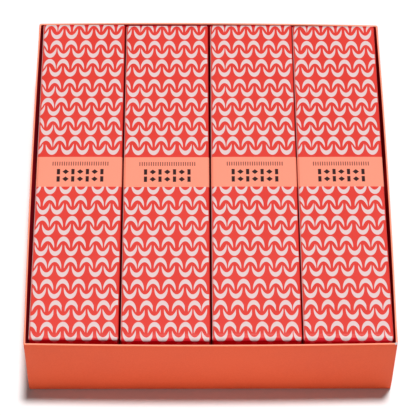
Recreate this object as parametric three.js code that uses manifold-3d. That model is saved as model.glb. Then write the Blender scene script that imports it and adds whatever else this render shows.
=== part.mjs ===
// An open gift box: a tray of paper-wrapped board that holds four long shut cartons side by side.
// Millimetres, +Z up. The tray's underside is at z = 0 with its middle at the origin.
// The cartons run along Y, and the tray's front wall is at -Y.

import * as THREE from 'three';
import { mergeVertices } from 'three/addons/utils/BufferGeometryUtils.js';
import Module from 'manifold-3d';

// Tray, measured outside
const trayWidth = 240.4;
const trayDepth = 264.7;
const trayHeight = 58.2;
const trayCorner = 1.2;

// The end walls and the floor are a little thicker than the side walls
const sideBoard = 1.1;
const endBoard = 1.25;

// How far the middle of a rim stands out past the straight foot of its wall
const sideBow = 1.05;
const endBow = 1.3;

// How much lower the rim lies at the right back corner than at the left one
const rimDip = 1.9;
const dipAcross = 1.3;
const dipAlong = 2;

// Cartons, all four alike
const cartonWidth = 58;
const cartonLength = 259.4;
const cartonHeight = 58;
const longFold = 1.2;
const endFold = 2.6;

// The closing flap of each end lies on the carton's dust flaps and is a little narrower than they are
const flapThickness = 0.5;
const flapInset = 0.9;

// Where the cartons stand: the middle of each across the tray, and the gap behind each at the back wall
const cartonMiddles = [-88.3, -29.25, 29.95, 88.5];
const backGaps = [0.8, 1.7, 1.5, 2.5];
const floorGap = 0.3;

// How a carton lies, in degrees: how far it is turned to the left, and how far its front end is propped up
const cartonTurns = [0, 0.08, 0, 0.09];
const cartonTips = [0, 0.06, 0.1, 0.42];

// Smoothness
const cornerSteps = 4;
const wallSteps = 12;

const coralPaper = { color: 0xdb5f43, roughness: 0.6, metalness: 0 };
const printedBoard = { color: 0xe4443b, roughness: 0.5, metalness: 0 };

const wasm = await Module();
wasm.setup();

// Turns a closed geometry into a solid that can be joined and cut
function toSolid(geometry) {
  const bare = geometry.clone();
  bare.deleteAttribute('normal');
  bare.deleteAttribute('uv');
  const merged = mergeVertices(bare, 1e-4);
  return new wasm.Manifold(new wasm.Mesh({
    numProp: 3,
    vertProperties: new Float32Array(merged.attributes.position.array),
    triVerts: new Uint32Array(merged.index.array),
  }));
}

function toGeometry(solid) {
  const mesh = solid.getMesh();
  const geometry = new THREE.BufferGeometry();
  geometry.setAttribute('position', new THREE.BufferAttribute(mesh.vertProperties, 3));
  geometry.setIndex(new THREE.BufferAttribute(mesh.triVerts, 1));
  return geometry;
}

// The four corners of a rectangle round the origin, from the lower left one, anticlockwise
function corners(halfWidth, halfHeight) {
  return [[-1, -1], [1, -1], [1, 1], [-1, 1]].map(
    ([sideways, up]) => new THREE.Vector2(sideways * halfWidth, up * halfHeight));
}

// A rectangle with round corners, whose straight sides are cut into equal steps
function roundedOutline(width, height, radius, sideSteps) {
  const points = [];
  corners(width / 2 - radius, height / 2 - radius).forEach((centre, turn, centres) => {
    const startAngle = Math.PI + turn * Math.PI / 2;
    for (let step = 0; step <= cornerSteps; step += 1) {
      const angle = startAngle + step / cornerSteps * Math.PI / 2;
      const offset = new THREE.Vector2(Math.cos(angle), Math.sin(angle));
      points.push(offset.multiplyScalar(radius).add(centre));
    }
    const sideStart = points[points.length - 1];
    const sideEnd = centres[(turn + 1) % centres.length].clone().add(sideStart).sub(centre);
    for (let step = 1; step < sideSteps; step += 1) {
      points.push(sideStart.clone().lerp(sideEnd, step / sideSteps));
    }
  });
  return new THREE.Shape(points);
}

// A straight block with that outline, from z = 0 up
function roundedBlock(width, depth, height, radius, sideSteps) {
  const outline = roundedOutline(width, depth, radius, sideSteps);
  return new THREE.ExtrudeGeometry(outline, { depth: height, bevelEnabled: false, curveSegments: 1 });
}

// Lets the straight tray stand as card does: each wall bows outwards towards its rim,
// and the rim dips towards the right back corner, while the foot stays flat and square.
function settle(geometry) {
  const position = geometry.attributes.position;
  for (let index = 0; index < position.count; index += 1) {
    const x = position.getX(index);
    const y = position.getY(index);
    const z = position.getZ(index);
    const across = x / (trayWidth / 2);
    const along = y / (trayDepth / 2);
    const up = z / trayHeight;
    const towardsRight = Math.max(0, (1 + across) / 2) ** dipAcross;
    const towardsBack = Math.max(0, (1 + along) / 2) ** dipAlong;
    position.setXYZ(
      index,
      x + across * up * sideBow * (1 - along * along),
      y + along * up * endBow * (1 - across * across),
      z - up * rimDip * towardsRight * towardsBack);
  }
  return geometry;
}

function makeTray() {
  const block = toSolid(roundedBlock(trayWidth, trayDepth, trayHeight, trayCorner, wallSteps));
  const spaceWidth = trayWidth - 2 * sideBoard;
  const spaceDepth = trayDepth - 2 * endBoard;
  const spaceCorner = trayCorner / 2;
  const space = roundedBlock(spaceWidth, spaceDepth, trayHeight, spaceCorner, wallSteps);
  space.translate(0, 0, endBoard);
  return settle(toGeometry(block.subtract(toSolid(space))));
}

// A block with long folds along Y, from z = 0 up
function sleeve(length) {
  const geometry = roundedBlock(cartonWidth, cartonHeight, length, longFold, 1);
  geometry.rotateX(Math.PI / 2);
  geometry.translate(0, length / 2, cartonHeight / 2);
  return toSolid(geometry);
}

// A block with the end folds across X, from z = 0 up
function endWrap(length, width) {
  const geometry = roundedBlock(length, cartonHeight, width, endFold, 1);
  geometry.rotateX(Math.PI / 2);
  geometry.rotateZ(Math.PI / 2);
  geometry.translate(-width / 2, 0, cartonHeight / 2);
  return toSolid(geometry);
}

// A shut carton: four long panels whose dust flaps turn in at both ends, and over them
// the closing flaps, which turn down from the top panel in a round fold
function makeCarton() {
  const panelLength = cartonLength - 2 * flapThickness;
  const panels = sleeve(panelLength)
    .intersect(endWrap(panelLength, cartonWidth))
    .intersect(toSolid(roundedBlock(cartonWidth, panelLength, cartonHeight, longFold, 1)));
  const flapWidth = cartonWidth - 2 * flapInset;
  return toGeometry(panels.add(endWrap(cartonLength, flapWidth)));
}

function makeMesh(name, geometry, finish) {
  const mesh = new THREE.Mesh(geometry, new THREE.MeshStandardMaterial(finish));
  mesh.name = name;
  return mesh;
}

const giftBox = new THREE.Group();
giftBox.add(makeMesh('tray', makeTray(), coralPaper));

const backWallInside = trayDepth / 2 - endBoard;
cartonMiddles.forEach((middle, index) => {
  const carton = makeMesh(`carton_${index + 1}`, makeCarton(), printedBoard);
  const back = backWallInside - backGaps[index];
  const tip = THREE.MathUtils.degToRad(cartonTips[index]);
  const lift = Math.sin(tip) * cartonLength / 2;
  carton.rotation.set(-tip, 0, THREE.MathUtils.degToRad(cartonTurns[index]));
  carton.position.set(middle, back - cartonLength / 2, endBoard + floorGap + lift);
  giftBox.add(carton);
});

export default giftBox;
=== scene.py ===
import math

import bmesh
import bpy
from mathutils import Matrix, Vector


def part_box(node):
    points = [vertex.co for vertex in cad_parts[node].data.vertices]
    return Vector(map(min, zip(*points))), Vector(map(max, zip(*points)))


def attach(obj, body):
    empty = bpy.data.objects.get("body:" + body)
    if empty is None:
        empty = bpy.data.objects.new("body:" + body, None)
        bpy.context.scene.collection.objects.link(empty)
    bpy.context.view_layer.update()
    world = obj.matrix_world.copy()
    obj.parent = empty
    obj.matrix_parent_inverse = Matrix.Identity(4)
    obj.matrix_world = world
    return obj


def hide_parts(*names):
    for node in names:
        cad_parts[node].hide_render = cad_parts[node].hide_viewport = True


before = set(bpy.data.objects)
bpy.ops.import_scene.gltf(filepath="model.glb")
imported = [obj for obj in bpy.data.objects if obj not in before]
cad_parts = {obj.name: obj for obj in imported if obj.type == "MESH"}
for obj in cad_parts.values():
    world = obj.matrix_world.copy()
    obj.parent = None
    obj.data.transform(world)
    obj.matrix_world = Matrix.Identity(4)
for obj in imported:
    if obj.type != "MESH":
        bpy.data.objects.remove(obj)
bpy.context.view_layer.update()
print("frame loaded:", ", ".join(sorted(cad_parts)))

# Pieces are drawn in millimetres and scaled to metres at the end
millimetre = 0.001
sharpFrom = 35  # degrees between faces at which an edge isn't smoothed


def boxInMillimetres(node):
    low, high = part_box(node)
    return low / millimetre, high / millimetre


# camera

camera = {
    "place": (-12.28, -833.94, 1248.06),
    "lookDown": 55.83,  # degrees below the horizon, and the next two in degrees too
    "turn": -0.784,
    "roll": 0.614,
    "lens": 185.7,
    "sensor": 36,
    "clip": (0.05, 60),  # in metres
}


def addCamera():
    data = bpy.data.cameras.new("studioCamera")
    data.lens = camera["lens"]
    data.sensor_width = camera["sensor"]
    data.clip_start, data.clip_end = camera["clip"]
    obj = bpy.data.objects.new("studioCamera", data)
    bpy.context.scene.collection.objects.link(obj)
    turned = Matrix.Rotation(math.radians(camera["turn"]), 4, "Z")
    tipped = Matrix.Rotation(math.radians(90 - camera["lookDown"]), 4, "X")
    rolled = Matrix.Rotation(math.radians(camera["roll"]), 4, "Z")
    place = Vector(camera["place"]) * millimetre
    obj.matrix_world = Matrix.Translation(place) @ turned @ tipped @ rolled
    bpy.context.scene.camera = obj


addCamera()
print("camera placed")


# node helpers

def newMaterial(name):
    material = bpy.data.materials.new(name)
    material.use_nodes = True
    tree = material.node_tree
    return material, tree, tree.nodes["Principled BSDF"]


def feed(tree, socket, value):
    # a socket takes either another node's output or a plain value
    if isinstance(value, bpy.types.NodeSocket):
        tree.links.new(value, socket)
    else:
        socket.default_value = value


def maths(tree, operation, *values):
    node = tree.nodes.new("ShaderNodeMath")
    node.operation = operation
    for socket, value in zip(node.inputs, values):
        feed(tree, socket, value)
    return node.outputs[0]


def ramp(tree, value, low, high, start=0.0, end=1.0):
    # goes smoothly from start to end while value goes from low to high
    node = tree.nodes.new("ShaderNodeMapRange")
    node.interpolation_type = "SMOOTHSTEP"
    for socket, number in zip(node.inputs, (value, low, high, start, end)):
        feed(tree, socket, number)
    return node.outputs[0]


def noise(tree, vector, scale, detail=3.0, roughness=0.55):
    node = tree.nodes.new("ShaderNodeTexNoise")
    feed(tree, node.inputs["Vector"], vector)
    feed(tree, node.inputs["Scale"], scale)
    feed(tree, node.inputs["Detail"], detail)
    feed(tree, node.inputs["Roughness"], roughness)
    return node.outputs["Fac"]


def mixNumber(tree, share, first, second, kind="FLOAT"):
    node = tree.nodes.new("ShaderNodeMix")
    node.data_type = kind
    feed(tree, node.inputs["Factor"], share)
    feed(tree, node.inputs["A"], first)
    feed(tree, node.inputs["B"], second)
    return node.outputs["Result"]


def mixColour(tree, share, first, second):
    return mixNumber(tree, share, first, second, "RGBA")


def within(tree, value, middle, half, soft=0.06):
    # 1 where value is no further than half from the middle, and 0 beyond
    away = maths(tree, "ABSOLUTE", maths(tree, "SUBTRACT", value, middle))
    return ramp(tree, away, half - soft, half + soft, 1.0, 0.0)


def axes(tree, vector):
    # the X and Y parts of a vector
    node = tree.nodes.new("ShaderNodeSeparateXYZ")
    feed(tree, node.inputs[0], vector)
    return node.outputs["X"], node.outputs["Y"]


def mapPlace(tree, name):
    node = tree.nodes.new("ShaderNodeUVMap")
    node.uv_map = name
    return axes(tree, node.outputs["UV"])


def objectPlace(tree):
    return tree.nodes.new("ShaderNodeTexCoord").outputs["Object"]


def bump(tree, height, strength, distance, under=None):
    node = tree.nodes.new("ShaderNodeBump")
    feed(tree, node.inputs["Height"], height)
    feed(tree, node.inputs["Strength"], strength)
    feed(tree, node.inputs["Distance"], distance)
    if under is not None:
        feed(tree, node.inputs["Normal"], under)
    return node.outputs["Normal"]


def paperSurface(tree, shader, place, cloud, look):
    # a clouded roughness, and shallow waves under the paper's own grain
    rough = ramp(tree, cloud, 0.3, 0.7, *look["roughness"])
    feed(tree, shader.inputs["Roughness"], rough)
    shader.inputs["Specular IOR Level"].default_value = look["specular"]
    waves = bump(tree, noise(tree, place, *look["waves"]), *look["waveHeight"])
    grain = bump(tree, noise(tree, place, *look["grain"]), *look["grainHeight"], waves)
    feed(tree, shader.inputs["Normal"], grain)


def finishObject(name, mesh, material, node):
    mesh.transform(Matrix.Scale(millimetre, 4))
    mesh.polygons.foreach_set("use_smooth", [True] * len(mesh.polygons))
    mesh.set_sharp_from_angle(angle=math.radians(sharpFrom))
    mesh.materials.append(material)
    obj = bpy.data.objects.new(name, mesh)
    bpy.context.scene.collection.objects.link(obj)
    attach(obj, "root")
    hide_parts(node)
    return obj


def joinRings(shape, layer, rings, uvOf):
    # bands of faces between neighbouring rings of points
    count = len(rings[0])
    for row in range(len(rings) - 1):
        for spot in range(count):
            after = (spot + 1) % count
            face = shape.faces.new((
                rings[row][spot], rings[row][after], rings[row + 1][after], rings[row + 1][spot]))
            corners = ((spot, row), (spot + 1, row), (spot + 1, row + 1), (spot, row + 1))
            for loop, corner in zip(face.loops, corners):
                loop[layer].uv = uvOf(*corner)


def toMesh(name, shape):
    bmesh.ops.recalc_face_normals(shape, faces=shape.faces)
    mesh = bpy.data.meshes.new(name)
    shape.to_mesh(mesh)
    shape.free()
    return mesh


# tray of board wrapped in coral paper

tray = {
    "sideBoard": 1.1,
    "endBoard": 1.25,  # the end walls and the floor
    "corner": 1.2,
    "innerCorner": 0.6,
    "rimOutside": 0.45,  # radius of the paper fold at the rim's outer edge
    "rimInside": 0.22,
    "foot": 0.7,  # radius along the bottom edge
    "sideBow": 1.05,
    "endBow": 1.3,
    "rimDip": 1.9,
    "dipAcross": 1.3,
    "dipAlong": 2,
    "turnIn": 16,  # how far the wrap goes down inside
    "turnInSlope": 0.2,
    "paper": 0.14,
    "floorCorner": (0.15, 0.5),  # inside, the walls meet the floor in a small slope
    "earWidth": 14,  # the wrap's glued corner tabs under the side walls' paper
    "earSlope": 1.2,
    "hollow": 0.25,  # the bottom board lies this far above the wrap's edge
    "hollowInset": 2.6,
    "hollowSlope": 1.5,
    "hollowLip": 0.06,
    "footFlat": 0.8,  # width of the flat that the tray stands on
    "middle": 14,  # the underside and the floor are single faces inside this
    "farFromFold": 80,  # the wrap map's height on those faces
    "arcSteps": 5,
    "wallSteps": 8,
    "colour": (0.95, 0.125, 0.041, 1),
    "deepColour": (0.91, 0.109, 0.033, 1),
    # painted highlight along the rim's fold
    "rimHighlightColour": (0.97, 0.34, 0.205, 1),
    # painted shade and red bounce inside the tray
    "liningShadeColour": (0.97, 0.012, 0.06, 1),
    "sideLiningShade": (0.7, 0.008, 0.035, 1),  # painted deeper shade on the side walls' lining
    "rimHighlightTo": (0.6, 1.2),  # the painted highlight on the rim ends between these, outwards from the rim
    "shadeInsideFrom": (-0.3, 0.08),  # and the painted shade inside begins between these
    "sideZone": (0.1185, 0.119),  # the side walls begin here, in metres
    "backZone": (0.128, 0.129),  # and here the back wall
    "coralAtBack": 0.45,  # the coral reaches this much further down inside the back wall before the painted shade begins
    "wornColour": (0.62, 0.52, 0.52, 1),
    "wornInset": 0.5,
    "wornRadius": 1.1,
    "wornCore": 0.45,  # share of that radius that is rubbed through fully
    "ragged": 0.0008,  # in metres
    # scale and detail of each noise, and strength and height of each bump
    "cloud": (22, 4),
    "fibre": (900, 2),
    "mottle": (0.36, 0.64),
    "waves": (45, 2),
    "waveHeight": (0.25, 0.0004),
    "grain": (1400, 3),
    "grainHeight": (0.35, 0.00004),
    "roughness": (0.55, 0.62),
    "specular": 0.2,
}

trayHigh = boxInMillimetres("tray")[1]
tray["halfWidth"] = trayHigh.x - tray["sideBow"]
tray["halfDepth"] = trayHigh.y - tray["endBow"]
tray["height"] = trayHigh.z


def arc(radius, startDegrees, endDegrees, steps):
    # points of a quarter turn, as offsets from its centre
    points = []
    for step in range(steps + 1):
        angle = math.radians(startDegrees + (endDegrees - startDegrees) * step / steps)
        points.append((radius * math.cos(angle), radius * math.sin(angle)))
    return points


def trayProfile(board):
    # (inset, height) from the middle of the underside, up a wall of that thickness,
    # over the rim and down to the inner floor
    t = tray
    top = t["height"]
    floor = t["endBoard"]
    profile = [(t["middle"], t["hollow"]), (t["hollowInset"] + t["hollowSlope"], t["hollow"])]
    profile += [(t["hollowInset"], t["hollowLip"]), (t["hollowInset"] - t["footFlat"], 0)]
    for across, up in arc(t["foot"], 270, 180, t["arcSteps"]):
        profile.append((t["foot"] + across, t["foot"] + up))
    for step in range(1, t["wallSteps"]):
        share = step / t["wallSteps"]
        profile.append((0, t["foot"] + share * (top - t["rimOutside"] - t["foot"])))
    for across, up in arc(t["rimOutside"], 180, 90, t["arcSteps"]):
        profile.append((t["rimOutside"] + across, top - t["rimOutside"] + up))
    for across, up in arc(t["rimInside"], 90, 0, t["arcSteps"]):
        profile.append((board - t["rimInside"] + across, top - t["rimInside"] + up))
    bare = board - t["paper"]
    near, far = t["floorCorner"]
    profile += [(board, top - t["turnIn"] / 2), (board, top - t["turnIn"])]
    profile += [(bare, top - t["turnIn"] - t["turnInSlope"]), (bare, top / 2)]
    profile += [(bare, floor + far), (bare + near, floor + near), (bare + far, floor)]
    profile.append((t["middle"], floor))
    return profile


def sideStations(halfLength, ears):
    # shares of a wall's length where it gets a vertical line of points
    half = [0.1, 0.28, 0.46, 0.64, 0.82]
    even = [-share for share in reversed(half)] + half
    if not ears:
        return [-0.94] + even + [0.94]
    near = 1 - (tray["earWidth"] - tray["earSlope"]) / halfLength
    far = 1 - tray["earWidth"] / halfLength
    return [-0.97, -near, -far] + even[1:-1] + [far, near, 0.97]


def trayOutline(sideInset, endInset):
    # one ring of points round the tray
    halfWidth = tray["halfWidth"] - sideInset
    halfDepth = tray["halfDepth"] - endInset
    radius = max(tray["corner"] - sideInset, tray["innerCorner"])
    points = []
    corners = ((1, -1), (1, 1), (-1, 1), (-1, -1))
    for turn, (sideX, sideY) in enumerate(corners):
        centre = Vector((sideX * (halfWidth - radius), sideY * (halfDepth - radius)))
        start = -90 + 90 * turn
        for across, up in arc(radius, start, start + 90, tray["arcSteps"]):
            points.append(centre + Vector((across, up)))
        nextX, nextY = corners[(turn + 1) % 4]
        ahead = Vector((nextX * (halfWidth - radius), nextY * (halfDepth - radius)))
        lean = points[-1] - centre
        for share in sideStations(halfDepth, ears=turn % 2 == 0):
            points.append(centre.lerp(ahead, (share + 1) / 2) + lean)
    return points


def settle(point):
    # the walls bow out towards the rim, and the rim dips at the right back corner
    across = point.x / tray["halfWidth"]
    along = point.y / tray["halfDepth"]
    up = point.z / tray["height"]
    right = max(0, (1 + across) / 2) ** tray["dipAcross"]
    back = max(0, (1 + along) / 2) ** tray["dipAlong"]
    return Vector((
        point.x + across * up * tray["sideBow"] * (1 - along * along),
        point.y + along * up * tray["endBow"] * (1 - across * across),
        point.z - up * tray["rimDip"] * right * back,
    ))


def liftEars(point, inset):
    # the side walls' paper stands out a little where it covers the glued tabs
    fromEnd = tray["halfDepth"] - abs(point.y)
    onSide = abs(point.x) > tray["halfWidth"] - tray["corner"] / 2
    if inset == 0 and onSide and fromEnd < tray["earWidth"] and point.z > tray["foot"]:
        share = min(1, (tray["earWidth"] - fromEnd) / tray["earSlope"])
        point.x += math.copysign(tray["paper"] * share, point.x)
    return point


def makeTrayMesh():
    shape = bmesh.new()
    wrapMap = shape.loops.layers.uv.new("wrapMap")
    sideProfile = trayProfile(tray["sideBoard"])
    endProfile = trayProfile(tray["endBoard"])
    upwards = [0]
    for (insetA, heightA), (insetB, heightB) in zip(endProfile, endProfile[1:]):
        upwards.append(upwards[-1] + math.hypot(insetB - insetA, heightB - heightA))
    # the rim's flat top meets its inner fold at the last of the highest points
    rimAt = max(range(len(endProfile)), key=lambda at: (endProfile[at][1], endProfile[at][0]))
    rings = []
    for (sideInset, height), (endInset, _) in zip(sideProfile, endProfile):
        ring = []
        for spot in trayOutline(sideInset, endInset):
            point = liftEars(Vector((spot.x, spot.y, height)), endInset)
            ring.append(shape.verts.new(settle(point)))
        rings.append(ring)
    outer = trayOutline(0, 0)
    around = [0]
    for spotA, spotB in zip(outer, outer[1:] + outer[:1]):
        around.append(around[-1] + (spotB - spotA).length)
    joinRings(shape, wrapMap, rings,
              lambda spot, row: (around[spot], upwards[rimAt] - upwards[row]))
    for ring, aboveFold in ((rings[0], tray["farFromFold"]), (rings[-1], -tray["farFromFold"])):
        face = shape.faces.new(ring)
        for loop in face.loops:
            loop[wrapMap].uv = (loop.vert.co.x, aboveFold)
    return toMesh("trayWrapped", shape)


def coralPaper():
    material, tree, shader = newMaterial("coralPaper")
    place = objectPlace(tree)
    _, aboveFold = mapPlace(tree, "wrapMap")  # over 0 on the rim and outside, under 0 inside
    x, y = axes(tree, place)
    atSide = ramp(tree, maths(tree, "ABSOLUTE", x), *tray["sideZone"])
    moreCoral = ramp(tree, y, *tray["backZone"], 0.0, tray["coralAtBack"])

    cloud = noise(tree, place, *tray["cloud"])
    fibre = noise(tree, place, *tray["fibre"])
    mottle = maths(tree, "MULTIPLY_ADD", fibre, 0.5, maths(tree, "MULTIPLY", cloud, 0.5))
    mottle = ramp(tree, mottle, *tray["mottle"])
    colour = mixColour(tree, mottle, tray["deepColour"], tray["colour"])

    # a painted highlight makes the wrap paler over the rim, and painted shade makes it a deeper
    # red inside
    rimHighlight = ramp(tree, aboveFold, *tray["rimHighlightTo"], 1.0, 0.0)
    colour = mixColour(tree, rimHighlight, colour, tray["rimHighlightColour"])
    # painted shade and red bounce inside, darker still on the side walls
    shadedInside = ramp(tree, maths(tree, "ADD", aboveFold, moreCoral), *tray["shadeInsideFrom"], 1.0, 0.0)
    liningShade = mixColour(tree, atSide, tray["liningShadeColour"], tray["sideLiningShade"])
    colour = mixColour(tree, shadedInside, colour, liningShade)

    # and its front right corner is rubbed through to the pale core
    inset = tray["wornInset"]
    corner = Vector((tray["halfWidth"] - inset, inset - tray["halfDepth"], tray["height"]))
    away = tree.nodes.new("ShaderNodeVectorMath")
    away.operation = "DISTANCE"
    feed(tree, away.inputs[0], place)
    feed(tree, away.inputs[1], settle(corner) * millimetre)
    ragged = maths(tree, "MULTIPLY_ADD", fibre, -tray["ragged"], away.outputs["Value"])
    reach = tray["wornRadius"] * millimetre
    worn = ramp(tree, ragged, reach * tray["wornCore"], reach, 1.0, 0.0)
    colour = mixColour(tree, worn, colour, tray["wornColour"])
    feed(tree, shader.inputs["Base Color"], colour)
    paperSurface(tree, shader, place, cloud, tray)
    return material


finishObject("trayWrapped", makeTrayMesh(), coralPaper(), "tray")
print("tray made")


# cartons of printed board

carton = {
    "width": 58,
    "length": 259.4,
    "height": 58,
    "turns": {"carton_2": 0.08, "carton_4": 0.09},  # degrees to the left
    "tips": {"carton_2": 0.06, "carton_3": 0.1, "carton_4": 0.42},  # degrees up at the front
    # how far the print is off, sideways and along
    "printShifts": {"carton_1": (0, -0.4), "carton_2": (-0.1, 0.05), "carton_4": (-0.07, 0.2)},
    # radius of each front fold
    "frontFolds": {"carton_1": 2.6, "carton_2": 3.4, "carton_3": 3.4, "carton_4": 3.0},
    "board": 0.5,
    "longFold": 1.15,
    "backFold": 1.2,
    "fullness": 3,  # of the folds at both ends: 2 is a plain arc
    "tuckFold": 0.9,  # where a closing flap turns in at the bottom
    "dustFold": 0.9,
    "flapInset": 0.9,  # a closing flap is this much narrower at each side
    "flapLoose": 0.04,  # and this much thinner than the board
    "crown": 0.12,
    "pastFold": 0.2,  # a section is drawn this far past each fold
    "nextPastFold": 0.3,  # and the next one this much further
    "arcSteps": 6,
    "lengthSteps": 26,
    "widthSteps": 10,
    "sideSteps": 4,
    "foldSteps": 5,
    "flapSteps": 6,
    "beyondPrint": 400,  # added to the print map on the faces under the flaps
    "cloud": (30, 3),
    "mottle": (0.35, 0.65),
    "waves": (35, 2),
    "waveHeight": (0.2, 0.0004),
    "grain": (1800, 2),
    "grainHeight": (0.2, 0.00003),
    "roughness": (0.4, 0.45),
    "specular": 0.15,
}


def foldLimit(fromEnd, radius, fullness=2):
    # how far a rounded end stays below its full size; past 2 the fold is fuller than an arc
    if fromEnd >= radius:
        return 0
    away = 1 - max(0, fromEnd) / radius
    return radius * (1 - (1 - away ** fullness) ** (1 / fullness))


def cartonSection(halfWidth, height):
    # points round the carton from the middle of its bottom, anticlockwise seen from the front,
    # each with its distance from the top's middle along the board
    fold = carton["longFold"]
    steps = carton["widthSteps"]
    sideSteps = carton["sideSteps"]
    points = []
    for step in range(steps // 2):
        points.append(((halfWidth - fold) * step / (steps / 2), 0))
    corners = ((1, 0, -90), (1, 1, 0), (-1, 1, 90), (-1, 0, 180))
    for number, (side, atTop, start) in enumerate(corners):
        centreX = side * (halfWidth - fold)
        centreZ = height - fold if atTop else fold
        for across, up in arc(fold, start, start + 90, carton["arcSteps"]):
            points.append((centreX + across, centreZ + up))
        if number == 1:
            for step in range(1, steps):
                points.append(((halfWidth - fold) * (1 - 2 * step / steps), height))
        if number in (0, 2):
            share = (height - 2 * fold) / sideSteps
            for step in range(1, sideSteps):
                up = fold + share * step if number == 0 else height - fold - share * step
                points.append((side * halfWidth, up))
    for step in range(1, steps // 2):
        points.append((-(halfWidth - fold) * (1 - step / (steps / 2)), 0))
    lengths = [0]
    for (xA, zA), (xB, zB) in zip(points, points[1:]):
        lengths.append(lengths[-1] + math.hypot(xB - xA, zB - zA))
    girth = lengths[-1] + math.hypot(points[0][0] - points[-1][0], points[0][1] - points[-1][1])
    return points, [girth / 2 - length for length in lengths] + [-girth / 2]


def foldStations(reach):
    # distances from an end: closer together towards it, and one more just past the fold
    steps = carton["foldSteps"]
    near = [reach * (1 - math.cos(math.pi / 2 * step / steps)) for step in range(steps + 1)]
    return near + [reach + carton["nextPastFold"]]


def cartonStations(halfLength, frontFold):
    # places along the carton where its section is drawn
    front = frontFold + carton["pastFold"]
    back = carton["backFold"] + carton["pastFold"]
    length = 2 * halfLength - front - back
    steps = carton["lengthSteps"]
    places = [-halfLength + step for step in foldStations(front)]
    places += [-halfLength + front + length * step / steps for step in range(1, steps)]
    return places + [halfLength - step for step in reversed(foldStations(back))]


def addPanels(shape, printMap, frontFold):
    # the four long panels and the dust flaps that close them
    board = carton["board"]
    halfWidth = carton["width"] / 2
    halfLength = carton["length"] / 2 - board
    height = carton["height"]
    section, around = cartonSection(halfWidth, height)
    rings = []
    places = cartonStations(halfLength, frontFold)
    for place in places:
        fromFront = place + halfLength
        fromBack = halfLength - place
        frontDrop = foldLimit(fromFront, frontFold - board, carton["fullness"])
        backDrop = foldLimit(fromBack, carton["backFold"] - board, carton["fullness"])
        underFlap = fromFront < frontFold - board or fromBack < carton["backFold"] - board
        top = height - max(frontDrop, backDrop) - (board if underFlap else 0)
        sideLimit = halfWidth - foldLimit(min(fromFront, fromBack), carton["dustFold"])
        crown = carton["crown"] * (1 - (place / halfLength) ** 2)
        ring = []
        for x, z in section:
            flat = 1 - min(1, abs(x) / (halfWidth - carton["longFold"])) ** 2
            if z > height - 0.01 and not underFlap:  # the top panel is slightly crowned
                z += crown * flat
            x = max(-sideLimit, min(sideLimit, x))
            ring.append(shape.verts.new((x, place, min(z, top + crown))))
        rings.append(ring)
    joinRings(shape, printMap, rings, lambda spot, row: (around[spot], places[row]))
    for ring in (rings[0], rings[-1]):
        face = shape.faces.new(ring)
        for loop in face.loops:
            loop[printMap].uv = (loop.vert.co.x, loop.vert.co.z + carton["beyondPrint"])


def flapPath(height, endFold):
    # (inwards from the end, height, distance) along a closing flap's outer face
    tuck = carton["tuckFold"]
    steps = carton["flapSteps"]
    path = [(endFold, height)]
    for across, up in arc(1, 90, 180, 2 * carton["arcSteps"])[1:]:
        across = endFold * abs(across) ** (2 / carton["fullness"])
        up = endFold * max(0, up) ** (2 / carton["fullness"])
        path.append((endFold - across, height - endFold + up))
    for step in range(1, steps):
        path.append((0, height - endFold - (height - endFold - tuck) * step / steps))
    for across, up in arc(tuck, 180, 270, carton["arcSteps"]):
        path.append((tuck + across, tuck + up))
    return path


def addFlap(shape, printMap, endFold, side):
    # a closing flap bends down from the top panel and turns in over the bottom edge
    board = carton["board"]
    height = carton["height"]
    halfLength = carton["length"] / 2
    halfWidth = carton["width"] / 2 - carton["flapInset"]
    outer = flapPath(height, endFold)
    inner = []
    for index, (across, up) in enumerate(outer):
        before = outer[max(0, index - 1)]
        after = outer[min(len(outer) - 1, index + 1)]
        slope = Vector((after[0] - before[0], after[1] - before[1])).normalized()
        lean = Vector((-slope.y, slope.x)) * (board - carton["flapLoose"])
        inner.append((across + lean.x, up + lean.y))
    lengths = [0]
    for (acrossA, upA), (acrossB, upB) in zip(outer, outer[1:]):
        lengths.append(lengths[-1] + math.hypot(acrossB - acrossA, upB - upA))
    steps = carton["widthSteps"]
    grid = []
    for path in (outer, inner):
        sheet = []
        for across, up in path:
            line = []
            for step in range(steps + 1):
                x = halfWidth * (2 * step / steps - 1)
                y = side * (halfLength - across)
                line.append(shape.verts.new((x, y, up)))
            sheet.append(line)
        grid.append(sheet)
    start = halfLength - endFold

    def addFace(corners):
        face = shape.faces.new([grid[layer][row][step] for layer, row, step in corners])
        for loop, (layer, row, step) in zip(face.loops, corners):
            along = side * (start + lengths[row])
            loop[printMap].uv = (halfWidth * (2 * step / steps - 1), along)

    rows = len(outer)
    for row in range(rows - 1):
        for step in range(steps):
            for layer in (0, 1):
                addFace(((layer, row, step), (layer, row, step + 1),
                         (layer, row + 1, step + 1), (layer, row + 1, step)))
        for step in (0, steps):
            addFace(((0, row, step), (0, row + 1, step), (1, row + 1, step), (1, row, step)))
    for row in (0, rows - 1):
        for step in range(steps):
            addFace(((0, row, step), (0, row, step + 1), (1, row, step + 1), (1, row, step)))


def makeCartonMesh(node):
    shape = bmesh.new()
    printMap = shape.loops.layers.uv.new("printMap")
    frontFold = carton["frontFolds"][node]
    addPanels(shape, printMap, frontFold)
    addFlap(shape, printMap, frontFold, -1)
    addFlap(shape, printMap, carton["backFold"], 1)
    sideways, along = carton["printShifts"].get(node, (0, 0))
    for face in shape.faces:
        for loop in face.loops:
            loop[printMap].uv = loop[printMap].uv - Vector((sideways, along))
    mesh = toMesh(node + "Printed", shape)

    # the carton is drawn straight, then laid where its node is
    low, high = boxInMillimetres(node)
    centred = Matrix.Translation((0, 0, -carton["height"] / 2))
    turned = Matrix.Rotation(math.radians(carton["turns"].get(node, 0)), 4, "Z")
    tipped = Matrix.Rotation(math.radians(-carton["tips"].get(node, 0)), 4, "X")
    mesh.transform(Matrix.Translation((low + high) / 2) @ tipped @ turned @ centred)
    return mesh


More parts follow.
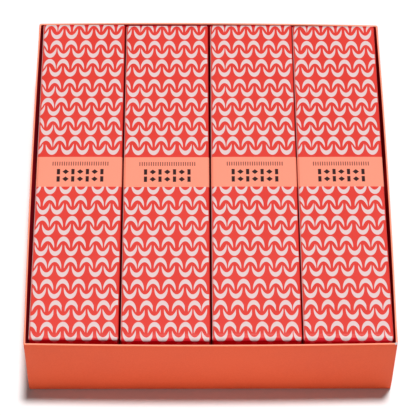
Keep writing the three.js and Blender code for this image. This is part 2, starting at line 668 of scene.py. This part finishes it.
# the print, in millimetres from the middle of a carton's top
crescents = {
    "pitch": 10.4,
    "rowPitch": 16.49,
    "firstRow": 116.35,
    "squeeze": 0.018,  # the rows lie closer together towards the front
    "rows": 15.0,  # in a carton's length
    "evenPhase": 1.7,
    "oddPhase": 6.9,
    "columnEdge": 0.4,  # neighbouring columns meet this far right of halfway
    "ellipseAt": 8.0,
    "ellipseWidth": 4.33,
    "ellipseHeight": 7.45,
    "hollowAt": 4.1,
    "hollowCurve": 0.268,
    "hollowRise": 0.002,
    "hollowShift": 0.1,
    "softness": 0.12,
    "rowEdge": 0.3,
    # past each of these rows, how much lower the rows stand: with each row, and at row 0
    "earlyDrop": (1.5, -0.06, 0.9),
    "lateDrop": (6.5, 0.1, -1.0),
    "lastDrop": (11.5, 0.0, 0.4),
    "lastSlip": (11.5, 1.1, 1.7),  # past this row: slip to the right with each row, and its most
    "nextSlip": (4.5, 0.3, 0.85),  # even column 1 slips to the right up to this row, and past it
    "evenSlips": ((2.0, 0.15),),  # other columns and their slips
    "oddSlips": ((-3.0, 1.0), (2.0, 0.0)),
    "sideStop": 28.3,  # the crescents end here at both sides
    "endStop": 133.2,  # and here on the closing flaps
    "red": (0.715, 0.042, 0.0295, 1),
    "deepRed": (0.695, 0.0385, 0.0265, 1),
    "pink": (0.725, 0.555, 0.55, 1),
}

# how the print changes at the folds: painted shade at the sides and ends, and a painted highlight
# along the left fold
folds = {
    "side": (28.5, 29.5),  # painted shade: the sides are a deeper red past this
    "sideShadeRed": (0.45, 0.004, 0.012, 1),
    "end": (127.0, 130.0),  # painted shade: the ends are a deeper red between these
    "foldShadeRed": (0.72, 0.004, 0.018, 1),
    "pinkShading": (130.2, 132.8),  # painted shade: the pink turns redder between these
    "shadedPink": (1.0, 0.25, 0.27, 1),
    "bandSideShade": (29.2, 30.0, 0.0, 0.45),  # painted shade makes the label band redder between these
    "creaseShade": (-27.85, 0.28, 0.25),  # middle, half width and softness of painted shade along the left fold
    "creaseShadeShare": 0.42,
    "creaseShadeColour": (0.6, 0.05, 0.015, 1),
    "edgeHighlight": (-28.6, -28.3, 0.5, 0.0),  # a painted highlight follows the left fold
    "edgeHighlightEnd": 0.4,
}

band = {
    "top": 14.6,
    "margin": 1.3,  # plain red above the band
    "bottom": -10.0,
    "peach": (0.94, 0.29, 0.19, 1),
    "brown": (0.17, 0.045, 0.035, 1),
    "dark": (0.025, 0.005, 0.005, 1),
    "shift": 0.7,
    # rows of marks: middle, width and height
    "thinRow": (9.0, 38.75, 3.25),
    "boldRows": ((2.35, 34.3, 4.5), (-3.65, 34.3, 4.5)),
    # from one mark to the next, and the bar's share of it
    "thinMarks": (1.55, 0.42),
    "boldMarks": (4.9, 0.45),
    "barSoftness": 0.04,
    "lozenge": (0.42, 0.48),  # it ends between these shares of its mark
}


def crescentRow(tree, u, down, rowShift, phase, slip, ownSlips):
    # ink of one of the two interlocking lattices: 1 on a crescent and 0 beside it
    c = crescents
    span = 2 * c["rowPitch"]
    shifted = maths(tree, "DIVIDE", maths(tree, "SUBTRACT", down, rowShift), span)
    whole = maths(tree, "ROUND", shifted)
    height = maths(tree, "MULTIPLY", maths(tree, "SUBTRACT", shifted, whole), span)
    height = maths(tree, "ABSOLUTE", height)

    column = maths(tree, "SUBTRACT", u, phase + c["columnEdge"])
    column = maths(tree, "ROUND", maths(tree, "DIVIDE", column, c["pitch"]))
    for number, ownSlip in ownSlips:
        chosen = maths(tree, "COMPARE", column, number, 0.5)
        slip = mixNumber(tree, chosen, slip, ownSlip)
    across = maths(tree, "MULTIPLY_ADD", column, -c["pitch"], maths(tree, "SUBTRACT", u, phase))
    across = maths(tree, "SUBTRACT", across, slip)
    square = maths(tree, "MULTIPLY", across, across)

    # a crescent is an ellipse with its near end hollowed out
    sideways = maths(tree, "DIVIDE", square, c["ellipseWidth"] ** 2)
    upwards = maths(tree, "SUBTRACT", height, c["ellipseAt"])
    upwards = maths(tree, "DIVIDE", upwards, c["ellipseHeight"])
    upwards = maths(tree, "MULTIPLY", upwards, upwards)
    radius = maths(tree, "SQRT", maths(tree, "ADD", sideways, upwards))
    inside = maths(tree, "MULTIPLY", maths(tree, "SUBTRACT", 1.0, radius), c["ellipseWidth"])
    beside = maths(tree, "ADD", across, c["hollowShift"])
    square = maths(tree, "MULTIPLY", beside, beside)
    curve = maths(tree, "MULTIPLY_ADD", square, c["hollowRise"], c["hollowCurve"])
    hollow = maths(tree, "MULTIPLY_ADD", square, curve, c["hollowAt"])
    below = maths(tree, "SUBTRACT", hollow, height)
    soft = c["softness"]
    return maths(tree, "MULTIPLY", ramp(tree, inside, -soft, soft), ramp(tree, below, -soft, soft))


def rowDrop(tree, row):
    # how much lower each row stands than an even spacing puts it
    total = 0.0
    for name in ("earlyDrop", "lateDrop", "lastDrop"):
        edge, withRow, start = crescents[name]
        drop = maths(tree, "MULTIPLY_ADD", row, withRow, start)
        past = maths(tree, "GREATER_THAN", row, edge)
        total = maths(tree, "MULTIPLY_ADD", drop, past, total)
    return total


def crescentInk(tree, u, v):
    c = crescents
    down = maths(tree, "SUBTRACT", c["firstRow"], v)
    number = maths(tree, "DIVIDE", down, c["rowPitch"])
    sag = maths(tree, "MULTIPLY", maths(tree, "SUBTRACT", number, c["rows"]), number)
    down = maths(tree, "MULTIPLY_ADD", sag, c["squeeze"], down)

    row = maths(tree, "DIVIDE", maths(tree, "SUBTRACT", down, c["rowEdge"]), c["rowPitch"])
    row = maths(tree, "FLOOR", row)
    down = maths(tree, "SUBTRACT", down, rowDrop(tree, row))

    # the last rows stand further to the right, and a few columns are off the even spacing
    lastEdge, lastStep, lastMost = c["lastSlip"]
    slip = maths(tree, "MULTIPLY", maths(tree, "SUBTRACT", row, lastEdge), lastStep)
    slip = maths(tree, "MINIMUM", maths(tree, "MAXIMUM", slip, 0.0), lastMost)
    edge, before, after = c["nextSlip"]
    nextSlip = mixNumber(tree, maths(tree, "GREATER_THAN", row, edge), before, after)
    evenSlips = ((1.0, nextSlip),) + c["evenSlips"]
    even = crescentRow(tree, u, down, 0.0, c["evenPhase"], slip, evenSlips)
    odd = crescentRow(tree, u, down, c["rowPitch"], c["oddPhase"], slip, c["oddSlips"])
    ink = maths(tree, "MAXIMUM", even, odd)

    inside = within(tree, u, 0.0, c["sideStop"])
    fromBand = maths(tree, "ABSOLUTE", maths(tree, "SUBTRACT", v, band["top"]))
    clear = maths(tree, "GREATER_THAN", fromBand, band["margin"])
    onCarton = maths(tree, "LESS_THAN", maths(tree, "ABSOLUTE", v), c["endStop"])
    allowed = maths(tree, "MULTIPLY", maths(tree, "MULTIPLY", inside, clear), onCarton)
    return maths(tree, "MULTIPLY", ink, allowed)


def markRow(tree, u, v, place, marks, lozenges):
    # a row of plain upright marks: bars, or bars and lozenges in turn
    middle, width, height = place
    pitch, share = marks
    inRow = maths(tree, "MULTIPLY", within(tree, v, middle, height / 2),
                  within(tree, u, band["shift"], width / 2))
    start = band["shift"] - width / 2
    cell = maths(tree, "DIVIDE", maths(tree, "SUBTRACT", u, start), pitch)
    across = maths(tree, "SUBTRACT", maths(tree, "FRACT", cell), 0.5)
    bar = within(tree, across, 0, share / 2, band["barSoftness"])
    if not lozenges:
        return maths(tree, "MULTIPLY", inRow, bar)
    up = maths(tree, "DIVIDE", maths(tree, "SUBTRACT", v, middle), height)
    lozenge = maths(tree, "ADD", maths(tree, "ABSOLUTE", across), maths(tree, "ABSOLUTE", up))
    lozenge = ramp(tree, lozenge, *band["lozenge"], 1.0, 0.0)
    turn = maths(tree, "MODULO", maths(tree, "FLOOR", cell), 2)
    return maths(tree, "MULTIPLY", inRow, mixNumber(tree, turn, bar, lozenge))


def labelColour(tree, u, v):
    marks = markRow(tree, u, v, band["thinRow"], band["thinMarks"], False)
    label = mixColour(tree, marks, band["peach"], band["brown"])
    for row in band["boldRows"]:
        marks = markRow(tree, u, v, row, band["boldMarks"], True)
        label = mixColour(tree, marks, label, band["dark"])
    # painted shade: the band turns redder over the side folds
    bandShade = ramp(tree, maths(tree, "ABSOLUTE", u), *folds["bandSideShade"])
    return mixColour(tree, bandShade, label, folds["foldShadeRed"])


def crescentColour(tree, u, v, cloud):
    mottle = ramp(tree, cloud, *carton["mottle"])
    red = mixColour(tree, mottle, crescents["deepRed"], crescents["red"])
    towardsEnd = maths(tree, "ABSOLUTE", v)
    # painted shade: the red darkens over the end folds
    red = mixColour(tree, ramp(tree, towardsEnd, *folds["end"]), red, folds["foldShadeRed"])
    towardsSide = maths(tree, "ABSOLUTE", u)
    # painted shade: the red darkens over the side folds
    red = mixColour(tree, ramp(tree, towardsSide, *folds["side"]), red, folds["sideShadeRed"])
    # a painted highlight runs along the left fold
    edgeHighlight = ramp(tree, u, *folds["edgeHighlight"])
    onTop = maths(tree, "GREATER_THAN", u, -carton["width"] / 2 - folds["edgeHighlightEnd"])
    red = mixColour(tree, maths(tree, "MULTIPLY", edgeHighlight, onTop), red, crescents["pink"])
    # painted shade: the pink turns redder down the end flaps
    pinkShading = ramp(tree, towardsEnd, *folds["pinkShading"])
    ink = mixColour(tree, pinkShading, crescents["pink"], folds["shadedPink"])
    return mixColour(tree, crescentInk(tree, u, v), red, ink)


def printedBoard():
    material, tree, shader = newMaterial("printedBoard")
    place = objectPlace(tree)
    u, v = mapPlace(tree, "printMap")
    cloud = noise(tree, place, *carton["cloud"])
    half = (band["top"] - band["bottom"]) / 2
    inBand = within(tree, v, band["bottom"] + half, half)
    colour = mixColour(tree, inBand, crescentColour(tree, u, v, cloud), labelColour(tree, u, v))
    # painted shade along the left fold's crease
    creaseShade = maths(tree, "MULTIPLY", within(tree, u, *folds["creaseShade"]), folds["creaseShadeShare"])
    colour = mixColour(tree, creaseShade, colour, folds["creaseShadeColour"])
    feed(tree, shader.inputs["Base Color"], colour)
    paperSurface(tree, shader, place, cloud, carton)
    return material


boardPrint = printedBoard()
for node in sorted(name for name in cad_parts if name.startswith("carton")):
    finishObject(node + "Printed", makeCartonMesh(node), boardPrint, node)
    print(node, "made")


# studio

studio = {
    "floorSize": 40,
    "floorColour": (0.9, 0.9, 0.9, 1),
    "floorGrain": (0.89, 0.89, 0.89, 1),
    "floorNoise": (300, 2),
    "floorRoughness": 0.9,
    "floorSpecular": 0.1,
    "world": 0.09,
    "keyLean": (4.2, 9.5),  # degrees from upright, to the right and to the back
    "keyStrength": 3.3,
    "keyAngle": 7.5,
    "spotStrength": 50,
    "spotDistance": 3,
    "spotAim": (15, -125, 58),
    "spotReach": 0.36,
    "spotRadius": 0.5,
    "fillStrength": 0.165,
    "fillPlace": (0, -430, 50),
    "fillAim": (0, -130, 35),
    "fillSize": (200, 60),
}


def addFloor():
    shape = bmesh.new()
    bmesh.ops.create_grid(shape, x_segments=4, y_segments=4, size=studio["floorSize"] / 2)
    mesh = bpy.data.meshes.new("studioFloor")
    shape.to_mesh(mesh)
    shape.free()
    material, tree, shader = newMaterial("whitePaper")
    grain = ramp(tree, noise(tree, objectPlace(tree), *studio["floorNoise"]), 0.3, 0.7)
    colour = mixColour(tree, grain, studio["floorGrain"], studio["floorColour"])
    feed(tree, shader.inputs["Base Color"], colour)
    shader.inputs["Roughness"].default_value = studio["floorRoughness"]
    shader.inputs["Specular IOR Level"].default_value = studio["floorSpecular"]
    mesh.materials.append(material)
    obj = bpy.data.objects.new("studioFloor", mesh)
    bpy.context.scene.collection.objects.link(obj)


def addLight(name, kind, strength):
    data = bpy.data.lights.new(name, kind)
    data.energy = strength
    obj = bpy.data.objects.new(name, data)
    bpy.context.scene.collection.objects.link(obj)
    return obj, data


def turnBack(obj, backwards):
    # a light shines along its own -Z, so its +Z points away from what it lights
    obj.rotation_euler = backwards.to_track_quat("Z", "Y").to_euler()


def keyDirection():
    right, back = (math.tan(math.radians(angle)) for angle in studio["keyLean"])
    return Vector((right, back, 1)).normalized()


def addKeyLight():
    obj, data = addLight("keyLight", "SUN", studio["keyStrength"])
    data.angle = math.radians(studio["keyAngle"])
    turnBack(obj, keyDirection())


def addSpotLight():
    # a softer beam from the same side that lifts the front of the box
    obj, data = addLight("frontSpot", "SPOT", studio["spotStrength"])
    data.shadow_soft_size = studio["spotRadius"]
    data.spot_blend = 1
    data.spot_size = 2 * math.atan(studio["spotReach"] / studio["spotDistance"])
    offset = keyDirection() * studio["spotDistance"]
    obj.location = Vector(studio["spotAim"]) * millimetre + offset
    turnBack(obj, keyDirection())


def addFillLight():
    # a weak panel close in front of the tray
    obj, data = addLight("frontFill", "AREA", studio["fillStrength"])
    data.shape = "RECTANGLE"
    data.size, data.size_y = Vector(studio["fillSize"]) * millimetre
    obj.location = Vector(studio["fillPlace"]) * millimetre
    turnBack(obj, Vector(studio["fillPlace"]) - Vector(studio["fillAim"]))


def setWorld():
    world = bpy.data.worlds.new("studioWorld")
    bpy.context.scene.world = world
    world.use_nodes = True
    back = world.node_tree.nodes["Background"]
    back.inputs["Color"].default_value = (1, 1, 1, 1)
    back.inputs["Strength"].default_value = studio["world"]


addFloor()
addKeyLight()
addSpotLight()
addFillLight()
setWorld()
bpy.context.scene.view_settings.view_transform = "Standard"
print("studio lit")
